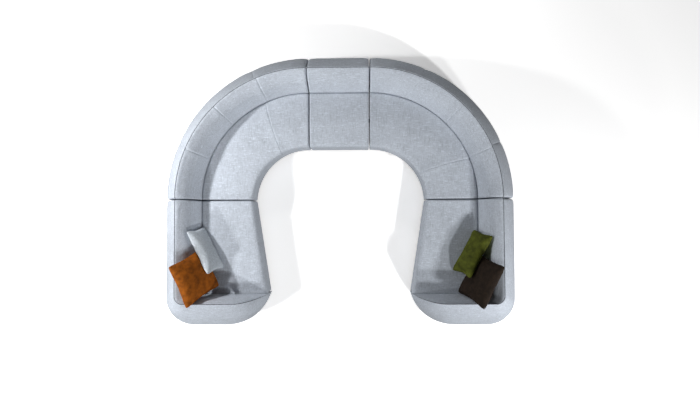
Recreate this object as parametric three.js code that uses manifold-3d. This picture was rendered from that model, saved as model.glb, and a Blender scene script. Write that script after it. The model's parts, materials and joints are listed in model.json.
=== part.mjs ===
// U-shaped sectional sofa, in millimetres, +Z up, the open side of the U towards -Y.
// Five upholstered modules stand in the U: left arm, left curved corner, centre, right curved corner
// and right arm. Places in a module are given as "along" its front, "across" it outwards from the centre
// of the corner's curve, and "up" from the floor. A module is drawn as a right-hand one, and mirrored
// for the left.
import * as THREE from 'three';
import * as BufferGeometryUtils from 'three/addons/utils/BufferGeometryUtils.js';
import { ConvexGeometry } from 'three/addons/geometries/ConvexGeometry.js';
import Module from 'manifold-3d';

const wasm = await Module();
wasm.setup();

// Plan sizes
const centreWidth = 664;
const moduleGap = 6;
const centreSeatFront = 575;
const sideSeatFront = 618;
const tipSeatFront = 455;
const seatBack = 1185;
const padDepth = 115;
const panelThickness = 22;
const weltReach = 60;
const shellReach = 210;
const armSeatLength = 1030;
const armPadDepth = 40;
const armWeltReach = 4;
const armShellReach = 288;
const shellNoseLength = 475;
const innerNoseLength = 340;

// Heights
const runnerHeight = 80;
const baseHeight = 185;
const seatThickness = 155;
const panelRise = 180;
const backRise = 321;
const weltDrop = 16;

// Corner radii of an arm module in plan
const faceCornerRadius = 60;
const panelCornerRadius = 65;
const weltCornerRadius = 85;
const shellCornerRadius = 300;

// Fits and rounding
const clearance = 0.3;
const overrun = 40;
const endRounding = 22;
const tipLayer = 3;
const seamGap = 2.5;
const seamPull = 6;

// Base parts
const skirtSetback = 8;
const skirtThickness = 26;
const railThickness = 30;
const webThickness = 4;
const webEdge = 10;
const strapWidth = 60;
const shellWall = 45;
const stileWidth = 12;
const ribThickness = 18;
const ribClearance = 1;

// Runners
const runnerWidth = 50;
const runnerBarHeight = 34;
const footLength = 90;
const runnerFrontSetback = 90;
const runnerRearReach = 150;
const runnerEndInset = 120;

// Links between modules
const linkAcross = 930;
const tongueWidth = 44;
const tongueThickness = 5;
const tongueReach = 38;
const linkPlateLength = 55;
const jawWall = 5;
const jawDepth = 46;
const jawPlay = 0.5;

// Throw pillows
const squarePillowSide = 480;
const squarePillowThickness = 150;
const lumbarPillowWidth = 500;
const lumbarPillowHeight = 300;
const lumbarPillowThickness = 120;
const pillowEdge = 8;
const pillowLift = 400;

// Places that follow from the sizes
const panelInner = seatBack + padDepth;
const panelOuter = panelInner + panelThickness;
const welt = panelOuter + weltReach;
const outerBack = welt + shellReach;
const armPanelInner = armSeatLength + armPadDepth;
const armPanelOuter = armPanelInner + panelThickness;
const armWelt = armPanelOuter + armWeltReach;
const armOuter = armWelt + armShellReach;
const baseTop = runnerHeight + baseHeight;
const seatTop = baseTop + seatThickness;
const panelTop = seatTop + panelRise;
const weltTop = seatTop + backRise - weltDrop;
const mix = THREE.MathUtils.lerp;

// Materials
function finish(name, color, roughness, metalness) {
  return new THREE.MeshStandardMaterial({ name, color, roughness, metalness });
}
const blueGrey = finish('blue_grey_fabric', 0xb9c0ca, 0.95, 0);
const paleGrey = finish('pale_grey_fabric', 0xb4bcc2, 0.95, 0);
const orangeVelvet = finish('orange_velvet', 0xb4560f, 0.9, 0);
const brownVelvet = finish('brown_velvet', 0x2a201a, 0.9, 0);
const oliveVelvet = finish('olive_velvet', 0x74802a, 0.9, 0);
const elastic = finish('elastic_webbing', 0x3a3a3c, 0.9, 0);
const timber = finish('timber', 0xc9a878, 0.7, 0);
const blackWood = finish('black_wood', 0x1c1c1e, 0.6, 0);
const steel = finish('link_steel', 0x8a8d90, 0.4, 1);

// One closed skin with merged corners, its faces pointing out
function closedSkin(geometry) {
  geometry.deleteAttribute('normal');
  geometry.deleteAttribute('uv');
  const skin = BufferGeometryUtils.mergeVertices(geometry);
  const index = skin.index.array;
  const corner = [new THREE.Vector3(), new THREE.Vector3(), new THREE.Vector3()];
  let volume = 0;
  for (let i = 0; i < index.length; i += 3) {
    corner.forEach((point, j) => point.fromBufferAttribute(skin.attributes.position, index[i + j]));
    volume += corner[0].dot(corner[1].cross(corner[2]));
  }
  for (let i = 0; volume < 0 && i < index.length; i += 3) {
    [index[i], index[i + 1]] = [index[i + 1], index[i]];
  }
  skin.computeVertexNormals();
  return skin;
}

function moved(geometry, place) {
  const result = geometry.clone();
  const position = result.attributes.position;
  for (let i = 0; i < position.count; i++) {
    const to = place(new THREE.Vector3().fromBufferAttribute(position, i));
    position.setXYZ(i, to.x, to.y, to.z);
  }
  return closedSkin(result);
}

// Joining and cutting
function solidOf(geometry) {
  const skin = closedSkin(geometry.clone());
  return new wasm.Manifold(new wasm.Mesh({
    numProp: 3,
    vertProperties: new Float32Array(skin.attributes.position.array),
    triVerts: new Uint32Array(skin.index.array),
  }));
}

function geometryOf(solid) {
  const mesh = solid.getMesh();
  const geometry = new THREE.BufferGeometry();
  geometry.setAttribute('position', new THREE.BufferAttribute(new Float32Array(mesh.vertProperties), 3));
  geometry.setIndex(new THREE.BufferAttribute(new Uint32Array(mesh.triVerts), 1));
  geometry.computeVertexNormals();
  return geometry;
}

function joined(body, ...parts) {
  return geometryOf(parts.reduce((sum, part) => sum.add(solidOf(part)), solidOf(body)));
}

function cut(body, ...tools) {
  return geometryOf(tools.reduce((rest, tool) => rest.subtract(solidOf(tool)), solidOf(body)));
}

// Plan outline of [x, y] points raised from one height to another
function prism(points, bottom, top) {
  const shape = new THREE.Shape(points.map(([x, y]) => new THREE.Vector2(x, y)));
  const geometry = new THREE.ExtrudeGeometry(shape, { depth: top - bottom, bevelEnabled: false });
  geometry.translate(0, 0, bottom);
  return closedSkin(geometry);
}

// A prism with holes right through it
function pierced(points, bottom, top, holes) {
  const cutters = holes.map((hole) => prism(hole, bottom - overrun, top + overrun));
  return cut(prism(points, bottom, top), ...cutters);
}

// Outline moved inwards by a distance, edge by edge
function inset(points, distance) {
  const turn = Math.sign(THREE.ShapeUtils.area(points.map(([x, y]) => new THREE.Vector2(x, y))));
  return points.map((corner, i) => {
    const before = points[(i + points.length - 1) % points.length];
    const after = points[(i + 1) % points.length];
    const first = new THREE.Vector2(corner[0] - before[0], corner[1] - before[1]).normalize();
    const second = new THREE.Vector2(after[0] - corner[0], after[1] - corner[1]).normalize();
    const normal = new THREE.Vector2(-first.y - second.y, first.x + second.x).normalize();
    const slant = normal.dot(new THREE.Vector2(-first.y, first.x));
    const reach = (turn * distance) / Math.max(slant, Math.SQRT1_2);
    return [corner[0] + normal.x * reach, corner[1] + normal.y * reach];
  });
}

// A section of { across, up, soft } points carried along a module's stations, { along, give }.
// Where a station has "give", the soft points draw in by it.
function sweep(section, stations, place) {
  const points = section.map(({ across, up }) => [across, up]);
  const shape = new THREE.Shape(points.map(([across, up]) => new THREE.Vector2(across, up)));
  const steps = stations.length - 1;
  const geometry = new THREE.ExtrudeGeometry(shape, { depth: 1, steps, bevelEnabled: false });
  const drawnIn = inset(points, 1);
  return moved(geometry, (p) => {
    const distances = points.map(([across, up]) => Math.hypot(across - p.x, up - p.y));
    const i = distances.indexOf(Math.min(...distances));
    const station = stations[Math.round(p.z * steps)];
    const give = (station.give ?? 0) * (section[i].soft ?? 0);
    const across = points[i][0] + (drawnIn[i][0] - points[i][0]) * give;
    const up = points[i][1] + (drawnIn[i][1] - points[i][1]) * give;
    return place(station.along, across, up);
  });
}

// Stations along a module, closer together where its ends are rounded
const quarterTurn = Math.PI / 2;
const roundingSteps = 3;
function stationsOf(length, steps, roundFarEnd = true) {
  const start = Array.from({ length: roundingSteps }, (_, i) => {
    const angle = (i / roundingSteps) * quarterTurn;
    return { along: endRounding * (1 - Math.cos(angle)), give: endRounding * (1 - Math.sin(angle)) };
  });
  const far = roundFarEnd ? length - endRounding : length;
  const middle = Array.from({ length: steps + 1 }, (_, i) => (
    { along: mix(endRounding, far, i / steps), give: 0 }
  ));
  const end = start.map(({ along, give }) => ({ along: length - along, give })).reverse();
  return [...start, ...middle, ...(roundFarEnd ? end : [])];
}

// Centre module, straight from side to side
const centreSteps = 4;
const centre = {
  name: 'centre',
  length: centreWidth,
  bays: 2,
  place: (along, across, up) => new THREE.Vector3(along - centreWidth / 2, across, up),
  seatFront: () => centreSeatFront,
  seatBack: () => seatBack,
};
centre.stations = stationsOf(centre.length, centreSteps);

// Curved corner, a quarter turn, with "along" measured on the seat's back edge
const curve = {
  name: 'curve',
  length: seatBack * quarterTurn,
  bays: 5,
  place: (along, across, up) => {
    const angle = (along / curve.length) * quarterTurn;
    return new THREE.Vector3(across * Math.sin(angle), across * Math.cos(angle), up);
  },
  seatFront: (along) => mix(centreSeatFront, sideSeatFront, along / curve.length),
  seatBack: () => seatBack,
};
const curveSteps = 12;
curve.stations = stationsOf(curve.length, curveSteps);

// Sewn seams quarter the back pad of the curve, and draw its padding in
const seamSteps = curveSteps / 4;
curve.padStations = curve.stations.map((station, i) => {
  const step = i - roundingSteps;
  const seam = step > 0 && step < curveSteps && step % seamSteps === 0;
  return seam ? { ...station, give: seamPull } : station;
});

// Arm module: its seat is straight and widens towards the arm
const arm = {
  name: 'arm',
  length: armSeatLength - clearance,
  bays: 3,
  place: (along, across, up) => new THREE.Vector3(across, -along, up),
  seatFront: (along) => mix(sideSeatFront, tipSeatFront, along / armSeatLength),
  seatBack: (along) => {
    const intoCorner = Math.max(along - (arm.length - faceCornerRadius), 0);
    return seatBack - faceCornerRadius + Math.sqrt(Math.max(faceCornerRadius ** 2 - intoCorner ** 2, 0));
  },
};
const armSteps = 3;
const cornerSteps = 4;
const cornerTurns = Array.from({ length: cornerSteps }, (_, i) => (i + 1) / cornerSteps);
arm.stations = [
  ...stationsOf(arm.length - faceCornerRadius, armSteps, false),
  ...cornerTurns.map((turn) => (
    { along: arm.length - faceCornerRadius * (1 - Math.sin(turn * quarterTurn)), give: 0 }
  )),
];

// Plan line of one layer of the arm module's back: along the back, round the corner, along the arm
// and round the nose. The nose's two pulls are given as shares of its length and of its depth.
function armLine(across, reach, cornerRadius, noseLength, tipReach, pullShares) {
  const tip = new THREE.Vector2(tipSeatFront + tipLayer, -tipReach);
  const nose = new THREE.Vector2(tipSeatFront + noseLength, -reach);
  const cornerStart = new THREE.Vector2(across, cornerRadius - reach);
  const cornerEnd = new THREE.Vector2(across - cornerRadius, -reach);
  const pulls = pullShares.map(([length, depth]) => (
    new THREE.Vector2(mix(tip.x, nose.x, length), mix(tip.y, nose.y, depth))
  ));
  return [
    new THREE.LineCurve(new THREE.Vector2(across, 0), cornerStart),
    new THREE.EllipseCurve(cornerEnd.x, cornerStart.y, cornerRadius, cornerRadius, 0, -quarterTurn, true),
    new THREE.LineCurve(cornerEnd, nose),
    new THREE.CubicBezierCurve(nose, ...pulls, tip),
  ];
}
const innerNosePullShares = [[0.67, 1], [0.33, 0.62]];
const shellNosePullShares = [[0.43, 1], [0.07, 0.45]];
const armLayers = [
  [seatBack, armSeatLength, faceCornerRadius],
  [panelInner, armPanelInner, panelCornerRadius],
  [panelOuter, armPanelOuter, panelCornerRadius + panelThickness],
  [welt, armWelt, weltCornerRadius],
].map(([across, reach, radius], layer) => {
  const tipReach = armSeatLength + layer * tipLayer;
  return { across, line: armLine(across, reach, radius, innerNoseLength, tipReach, innerNosePullShares) };
});
const shellTipReach = armSeatLength + (armLayers.length + 1) * tipLayer;
armLayers.push({
  across: outerBack,
  line: armLine(outerBack, armOuter, shellCornerRadius, shellNoseLength, shellTipReach, shellNosePullShares),
});

// Place in the arm module's back, where "along" counts the line's four stretches: 1 at the corner's start,
// 2 at its end, 3 at the nose's start and 4 at its tip. The back's height falls along the nose.
const noseStretch = 3;
const tipRiseShare = 0.04;
function armBackPlace(along, across, up) {
  const stretch = Math.min(Math.floor(along), noseStretch);
  const share = along - stretch;
  const wider = armLayers.findIndex((layer) => layer.across >= across);
  const far = wider < 0 ? armLayers.length - 1 : Math.max(wider, 1);
  const [nearLayer, farLayer] = [armLayers[far - 1], armLayers[far]];
  const nearPoint = nearLayer.line[stretch].getPoint(share);
  const farPoint = farLayer.line[stretch].getPoint(share);
  const between = (across - nearLayer.across) / (farLayer.across - nearLayer.across);
  const point = nearPoint.lerp(farPoint, between);
  const fall = stretch === noseStretch ? (1 - tipRiseShare) * share ** 2 : 0;
  return new THREE.Vector3(point.x, point.y, up > seatTop ? mix(up, seatTop, fall) : up);
}
const armBackLength = armSeatLength - faceCornerRadius;
const armBackSteps = 2;
const noseStationShares = [0, 0.2, 0.4, 0.6, 0.75, 0.88, 1];
const armBackStations = [
  ...stationsOf(armBackLength, armBackSteps, false).map(({ along, give }) => (
    { along: along / armBackLength, give }
  )),
  ...cornerTurns.map((turn) => ({ along: 1 + turn, give: 0 })),
  ...noseStationShares.map((share) => ({ along: noseStretch + share, give: 0 })),
];

// A back's ribs stand on stations of its straight or curved stretches. "unit" is the length of one "along".
const armRibShares = [0.3, 0.7, 2.25, 2.75];
function ribsOf(stations, steps) {
  const inner = stations.slice(roundingSteps + 1, roundingSteps + steps);
  return inner.filter((_, i) => i % 2 === 1).map(({ along }) => along);
}
const backs = {
  centre: {
    stations: centre.stations,
    place: centre.place,
    unit: 1,
    end: centre.length,
    bothEnds: true,
    ribs: ribsOf(centre.stations, centreSteps),
  },
  curve: {
    stations: curve.stations,
    padStations: curve.padStations,
    place: curve.place,
    unit: 1,
    end: curve.length,
    bothEnds: true,
    ribs: ribsOf(curve.stations, curveSteps),
  },
  arm: {
    stations: armBackStations,
    place: armBackPlace,
    unit: armBackLength,
    end: noseStretch,
    bothEnds: false,
    ribs: armRibShares,
  },
};

// Section outlines as shares: the cushion's from seat front to back and base to seat top, the pad's from
// seat back to welt and seat top to ridge, the shell's and its hollow's from welt outwards and runner to
// welt. A third share says how far a point draws in with the padding, and is 1 where it is left out.
const cushionShares = [
  [0.045, 0, 0.3], [0.012, 0.1], [0, 0.32], [0, 0.62], [0.016, 0.84], [0.05, 0.94], [0.13, 0.99],
  [0.33, 1.03], [0.55, 1.05], [0.8, 1.03], [1, 1],
];
const padShares = [
  [0, 0, 0.2], [0.025, 0.125], [0.1, 0.28], [0.2, 0.436], [0.33, 0.607], [0.48, 0.748], [0.66, 0.872],
  [0.84, 0.96], [0.95, 0.99], [1, 0.98, 0.4],
];
const shellShares = [
  [0.517, 0, 0.3], [0.71, 0.023], [0.872, 0.093], [0.967, 0.185], [1, 0.293], [0.963, 0.4], [0.876, 0.525],
  [0.742, 0.648], [0.562, 0.772], [0.371, 0.864], [0.18, 0.941], [0.062, 0.985], [0.02, 1, 0.4],
];
const hollowShares = [[0.56, 0.09], [0.76, 0.29], [0.67, 0.48], [0.43, 0.66], [0.1, 0.83]];

function cushionSection() {
  const depth = seatBack - centreSeatFront;
  return [
    ...cushionShares.map(([deep, rise, soft = 1]) => (
      { across: depth * deep, up: mix(baseTop + clearance, seatTop, rise), soft }
    )),
    { across: depth, up: baseTop + clearance },
  ];
}

function padSection() {
  const outline = padShares.map(([out, rise, soft = 1]) => (
    { across: mix(seatBack + clearance, welt - clearance, out), up: seatTop + backRise * rise, soft }
  ));
  return [
    { across: seatBack + clearance, up: baseTop + clearance },
    ...outline,
    { across: welt - clearance, up: weltTop + seamGap },
    { across: panelInner - clearance, up: panelTop + seamGap },
    { across: panelInner - clearance, up: baseTop + clearance },
  ];
}

function shellSection() {
  const outline = shellShares.map(([out, rise, soft = 1]) => (
    { across: mix(welt, outerBack, out), up: mix(runnerHeight, weltTop, rise), soft }
  ));
  return [
    { across: panelOuter + clearance, up: runnerHeight },
    ...outline,
    { across: panelOuter + clearance, up: panelTop },
  ];
}

function hollowSection(innerAcross) {
  const outline = hollowShares.map(([out, rise]) => (
    { across: mix(welt, outerBack, out), up: mix(runnerHeight, weltTop, rise) }
  ));
  return [
    { across: innerAcross, up: outline[0].up },
    ...outline,
    { across: innerAcross, up: outline[outline.length - 1].up },
  ];
}

// Part of a module's plan, from one place along it to another
function patch(module, from, to, frontOf, backOf) {
  const between = module === curve ? curve.stations.filter(({ along }) => along > from && along < to) : [];
  const alongs = [from, ...between.map(({ along }) => along), to];
  const front = alongs.map((along) => module.place(along, frontOf(along), 0));
  const back = alongs.map((along) => module.place(along, backOf(along), 0)).reverse();
  return [...front, ...back].map(({ x, y }) => [x, y]);
}
const setIn = (module, distance) => (along) => module.seatFront(along) + distance;
const farSide = (module) => (module === arm ? armPanelInner - panelCornerRadius : module.length);
const frameFront = skirtSetback + skirtThickness;

// Timber box frame with cross rails between its bays
function baseFrame(module) {
  const from = skirtThickness;
  const to = module === arm ? farSide(module) : farSide(module) - skirtThickness;
  const top = baseTop - webThickness - clearance;
  const back = () => panelInner - 2 * clearance;
  const bayBack = () => panelInner - railThickness;
  const bayLength = (to - from - railThickness) / module.bays;
  const bayFront = setIn(module, frameFront + railThickness);
  const holes = Array.from({ length: module.bays }, (_, i) => {
    const start = from + railThickness + i * bayLength;
    return patch(module, start, start + bayLength - railThickness, bayFront, bayBack);
  });
  return pierced(patch(module, from, to, setIn(module, frameFront), back), runnerHeight, top, holes);
}

// Elastic webbing: straps along and across the frame, joined where they cross
function webbing(module) {
  const from = skirtThickness + webEdge;
  const to = farSide(module) - skirtThickness - webEdge;
  const frontOf = setIn(module, frameFront + webEdge);
  const backOf = () => panelInner - webEdge;
  const rows = 2;
  const columns = module.bays + 1;
  const holes = [];
  for (let column = 0; column < columns; column++) {
    const start = mix(from, to - strapWidth, column / columns) + strapWidth;
    const end = mix(from, to - strapWidth, (column + 1) / columns);
    for (let row = 0; row < rows; row++) {
      const near = (along) => mix(frontOf(along), backOf(along) - strapWidth, row / rows) + strapWidth;
      const far = (along) => mix(frontOf(along), backOf(along) - strapWidth, (row + 1) / rows);
      holes.push(patch(module, start, end, near, far));
    }
  }
  return pierced(patch(module, from, to, frontOf, backOf), baseTop - webThickness, baseTop, holes);
}

// Padded skirt round the front and the open sides of the base frame
function seatSkirt(module) {
  const back = () => panelInner - 2 * clearance;
  const whole = patch(module, 0, module.length, setIn(module, skirtSetback), back);
  const inner = skirtThickness - clearance;
  const to = module === arm ? module.length + overrun : module.length - inner;
  const frameRoom = patch(module, inner, to, setIn(module, frameFront - clearance), () => outerBack);
  return cut(
    prism(whole, runnerHeight, baseTop),
    prism(frameRoom, runnerHeight - overrun, baseTop + overrun),
  );
}

function seatCushion(module) {
  const depth = seatBack - centreSeatFront;
  return sweep(cushionSection(), module.stations, (along, across, up) => {
    const front = module.seatFront(along);
    return module.place(along, mix(front, module.seatBack(along), across / depth), up);
  });
}

function backPad(module) {
  const { stations, padStations = stations, place } = backs[module.name];
  return sweep(padSection(), padStations, place);
}

// The stretch of a module's stations from one place to another, without give
function stretchOf(stations, from, to) {
  const between = stations.filter(({ along }) => along > from && along < to);
  return [from, ...between.map(({ along }) => along), to].map((along) => ({ along }));
}

// Hollow padded shell, with a stile at each end that faces another module
function backShell(module) {
  const { stations, place, unit, end, bothEnds } = backs[module.name];
  const hollow = sweep(
    hollowSection(panelOuter - overrun),
    stretchOf(stations, shellWall / unit, end - shellWall / unit),
    place,
  );
  const stileSection = [
    { across: panelInner + clearance, up: runnerHeight },
    { across: panelOuter + stileWidth, up: runnerHeight },
    { across: panelOuter + stileWidth, up: panelTop },
    { across: panelInner + clearance, up: panelTop },
  ];
  const width = stileWidth / unit;
  const stile = (from) => sweep(stileSection, [{ along: from }, { along: from + width }], place);
  const stiles = bothEnds ? [stile(0), stile(end - width)] : [stile(0)];
  return joined(cut(sweep(shellSection(), stations, place), hollow), ...stiles);
}

// Timber panel with ribs that reach into the hollow of the shell
function backFrame(module) {
  const { stations, place, unit, end, bothEnds, ribs } = backs[module.name];
  const start = (stileWidth + clearance) / unit;
  const panelSection = [
    { across: panelInner, up: runnerHeight },
    { across: panelOuter, up: runnerHeight },
    { across: panelOuter, up: panelTop },
    { across: panelInner, up: panelTop },
  ];
  const panel = sweep(panelSection, stretchOf(stations, start, bothEnds ? end - start : end), place);
  const outline = inset(hollowSection(panelOuter).map(({ across, up }) => [across, up]), ribClearance);
  const root = panelInner + panelThickness / 2;
  const ribSection = outline.map(([across, up], i) => (
    { across: i === 0 || i === outline.length - 1 ? root : across, up }
  ));
  const half = ribThickness / 2 / unit;
  const rib = (at) => sweep(ribSection, [{ along: at - half }, { along: at + half }], place);
  return joined(panel, ...ribs.map(rib));
}

// Runner under a module, front to back, on a front, a middle and a rear foot
const footShares = [0, 0.5, 1];
function runner(module, along) {
  const front = module.seatFront(along) + runnerFrontSetback;
  const rear = outerBack - runnerRearReach;
  const top = runnerHeight - clearance;
  const under = top - runnerBarHeight;
  const feet = footShares.flatMap((share) => {
    const start = mix(front, rear - footLength, share);
    return [[start, under], [start, 0], [start + footLength, 0], [start + footLength, under]];
  });
  const outline = [...feet.slice(1, -1), [rear, top], [front, top]];
  const shape = new THREE.Shape(outline.map(([across, up]) => new THREE.Vector2(across, up)));
  const bar = new THREE.ExtrudeGeometry(shape, { depth: runnerWidth, bevelEnabled: false });
  const outwards = module.place(along, 1, 0).sub(module.place(along, 0, 0));
  const heading = new THREE.Vector3(outwards.y, -outwards.x, 0);
  return moved(bar, (p) => module.place(along, p.x, p.y).addScaledVector(heading, p.z - runnerWidth / 2));
}

// Links under the base frames: a steel tongue on one module, and a jaw on the next one that holds it.
// Both are drawn with x away from the module's side and y across.
function linkTongue() {
  const top = runnerHeight - clearance;
  const tongueTop = top - jawWall - jawPlay;
  const tongueBottom = tongueTop - tongueThickness;
  const outline = [
    [-linkPlateLength, top], [-linkPlateLength, tongueBottom], [tongueReach, tongueBottom],
    [tongueReach, tongueTop], [-linkPlateLength / 2, tongueTop], [-linkPlateLength / 2, top],
  ];
  return linkSolid(outline, tongueWidth);
}

function linkJaw() {
  const top = runnerHeight - clearance;
  const slotTop = top - jawWall;
  const slotBottom = slotTop - tongueThickness - 2 * jawPlay;
  const slotEnd = -(tongueReach - moduleGap + jawPlay);
  const bottom = slotBottom - jawWall;
  const outline = [
    [0, top], [-linkPlateLength, top], [-linkPlateLength, bottom], [0, bottom],
    [0, slotBottom], [slotEnd, slotBottom], [slotEnd, slotTop], [0, slotTop],
  ];
  return linkSolid(outline, jawDepth);
}

function linkSolid(outline, width) {
  const shape = new THREE.Shape(outline.map(([x, up]) => new THREE.Vector2(x, up)));
  const geometry = new THREE.ExtrudeGeometry(shape, { depth: width, bevelEnabled: false });
  return moved(geometry, (p) => new THREE.Vector3(p.x, p.z - width / 2, p.y));
}

// Throw pillow, flat in x and y: pinched corners, sides drawn in between them, and a crown on both faces
const pillowSteps = 10;
const sidePullShare = 0.07;
const crownShare = 0.45;
function pillowForm(width, height, thickness) {
  const unit = new THREE.BoxGeometry(1, 1, 1, pillowSteps, pillowSteps, 1);
  return moved(unit, ({ x, y, z }) => {
    const fromSide = 1 - (2 * x) ** 2;
    const fromEnd = 1 - (2 * y) ** 2;
    return new THREE.Vector3(
      width * x * (1 - sidePullShare * fromEnd),
      height * y * (1 - sidePullShare * fromSide),
      z * mix(pillowEdge, thickness, (fromSide * fromEnd) ** crownShare),
    );
  });
}

// The right-hand half and the centre, in the plan whose y = 0 line runs through the centres of both curves
const sideStart = centreWidth / 2 + moduleGap;
const curvePlace = new THREE.Matrix4().makeTranslation(sideStart, 0, 0);
const armPlace = new THREE.Matrix4().makeTranslation(sideStart, -moduleGap, 0);
const placed = (geometry, matrix) => moved(geometry, (p) => p.applyMatrix4(matrix));
const mirrored = (geometry) => moved(geometry, (p) => new THREE.Vector3(-p.x, p.y, p.z));

function moduleParts(module, runnerAlongs) {
  return {
    base_frame: [baseFrame(module), timber],
    webbing: [webbing(module), elastic],
    seat_skirt: [seatSkirt(module), blueGrey],
    seat_cushion: [seatCushion(module), blueGrey],
    back_frame: [backFrame(module), timber],
    back_shell: [backShell(module), blueGrey],
    back_pad: [backPad(module), blueGrey],
    near_runner: [runner(module, runnerAlongs[0]), blackWood],
    far_runner: [runner(module, runnerAlongs[1]), blackWood],
  };
}
const centreParts = moduleParts(centre, [runnerEndInset, centre.length - runnerEndInset]);
const curveParts = moduleParts(curve, [runnerEndInset, curve.length - runnerEndInset]);
curveParts.middle_runner = [runner(curve, curve.length / 2), blackWood];
const armParts = moduleParts(arm, [runnerEndInset, arm.length - runnerEndInset]);

// A link piece on the side of a module, its outward direction turned by an angle
function linkAt(geometry, x, y, turn) {
  const matrix = new THREE.Matrix4().makeRotationZ(turn).setPosition(x, y, 0);
  return [placed(geometry, matrix), steel];
}
curveParts.link_tongue = linkAt(linkTongue(), 0, linkAcross, Math.PI);
curveParts.link_jaw = linkAt(linkJaw(), linkAcross, 0, -quarterTurn);
armParts.link_tongue = linkAt(linkTongue(), linkAcross, 0, quarterTurn);
centreParts.right_link_jaw = linkAt(linkJaw(), centreWidth / 2, linkAcross, 0);
centreParts.left_link_jaw = [mirrored(centreParts.right_link_jaw[0]), steel];

const pieces = {};
for (const [part, piece] of Object.entries(centreParts)) {
  pieces[`centre_${part}`] = piece;
}
for (const [name, parts, matrix] of [['curve', curveParts, curvePlace], ['arm', armParts, armPlace]]) {
  for (const [part, [geometry, material]] of Object.entries(parts)) {
    pieces[`right_${name}_${part}`] = [placed(geometry, matrix), material];
    pieces[`left_${name}_${part}`] = [mirrored(placed(geometry, matrix)), material];
  }
}

// Throw pillows, leaning in the arm corners. A pillow's centre is given from the seat's corner, as shares of
// the pillow's width: out of the back, out of the arm, and up. Its turns are in degrees.
const degree = Math.PI / 180;
const pillowPlaces = {
  right_square: { centreShares: [0.079, 0.35, 0.492], yaw: -113, tilt: 63, roll: -5 },
  right_lumbar: { centreShares: [0.202, 0.882, 0.281], yaw: -121, tilt: 59, roll: 3 },
  left_square: { centreShares: [0.012, 0.437, 0.533], yaw: 95, tilt: 54, roll: 21 },
  left_lumbar: { centreShares: [0.172, 0.973, 0.288], yaw: 117, tilt: 69, roll: -1 },
};
function pillowAt(form, width, side, { centreShares: [fromBack, fromArm, rise], yaw, tilt, roll }) {
  const across = side * (sideStart + seatBack - fromBack * width);
  const matrix = new THREE.Matrix4()
    .makeTranslation(across, fromArm * width - armSeatLength, seatTop + rise * width)
    .multiply(new THREE.Matrix4().makeRotationZ(yaw * degree))
    .multiply(new THREE.Matrix4().makeRotationX(tilt * degree))
    .multiply(new THREE.Matrix4().makeRotationZ(roll * degree));
  return placed(form, matrix);
}

// A pillow gives way where it leans on the sofa
const press = clearance * 2;
function pressed(pillow, side, carriers) {
  const pushes = [[0, 0, press], [-side * press, 0, 0], [0, press, 0]];
  const pushed = (carrier) => pushes.map(([x, y, z]) => carrier.clone().translate(x, y, z));
  return cut(pillow, ...carriers.flatMap(pushed));
}

// A square pillow also gives way to the lumbar pillow before it, which is lifted out inwards and up
const liftShares = [0.48, 0.2, 0.854];
function wayOut(lumbar, side) {
  const [inwards, back, up] = liftShares;
  const lift = new THREE.Vector3(-side * inwards, back, up).multiplyScalar(pillowLift);
  const axes = [new THREE.Vector3(press, 0, 0), new THREE.Vector3(0, press, 0), new THREE.Vector3(0, 0, press)];
  const points = [];
  for (let i = 0; i < lumbar.attributes.position.count; i++) {
    const start = new THREE.Vector3().fromBufferAttribute(lumbar.attributes.position, i);
    for (const point of [start, start.clone().add(lift)]) {
      points.push(...axes.flatMap((axis) => [point.clone().add(axis), point.clone().sub(axis)]));
    }
  }
  return closedSkin(new ConvexGeometry(points));
}

const squareForm = pillowForm(squarePillowSide, squarePillowSide, squarePillowThickness);
const lumbarForm = pillowForm(lumbarPillowWidth, lumbarPillowHeight, lumbarPillowThickness);
const pillowPairs = [
  { hand: 'right', side: 1, squareCloth: brownVelvet, lumbarCloth: oliveVelvet },
  { hand: 'left', side: -1, squareCloth: orangeVelvet, lumbarCloth: paleGrey },
];
for (const { hand, side, squareCloth, lumbarCloth } of pillowPairs) {
  const carriers = ['back_shell', 'back_pad', 'seat_cushion'].map((part) => pieces[`${hand}_arm_${part}`][0]);
  const square = pillowAt(squareForm, squarePillowSide, side, pillowPlaces[`${hand}_square`]);
  const lumbar = pillowAt(lumbarForm, lumbarPillowWidth, side, pillowPlaces[`${hand}_lumbar`]);
  pieces[`${hand}_square_pillow`] = [cut(pressed(square, side, carriers), wayOut(lumbar, side)), squareCloth];
  pieces[`${hand}_lumbar_pillow`] = [pressed(lumbar, side, carriers), lumbarCloth];
}

// The whole sofa, its origin on the floor under the middle of its plan
const sofa = new THREE.Group();
for (const [name, [geometry, material]] of Object.entries(pieces)) {
  const mesh = new THREE.Mesh(geometry, material);
  mesh.name = name;
  sofa.add(mesh);
}
sofa.position.y = -(outerBack - moduleGap - armOuter) / 2;

export default sofa;
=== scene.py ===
# The dressed look of a u-shaped sectional sofa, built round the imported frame, in metres.
# Places in a module are "along" its front, "across" it outwards from the centre of the corner's
# curve, and "up" from the floor. A module is drawn as a right-hand one, and mirrored for the left.
import json
import math

import bpy
import numpy as np
from mathutils import Matrix, Vector
from mathutils.bvhtree import BVHTree


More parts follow.
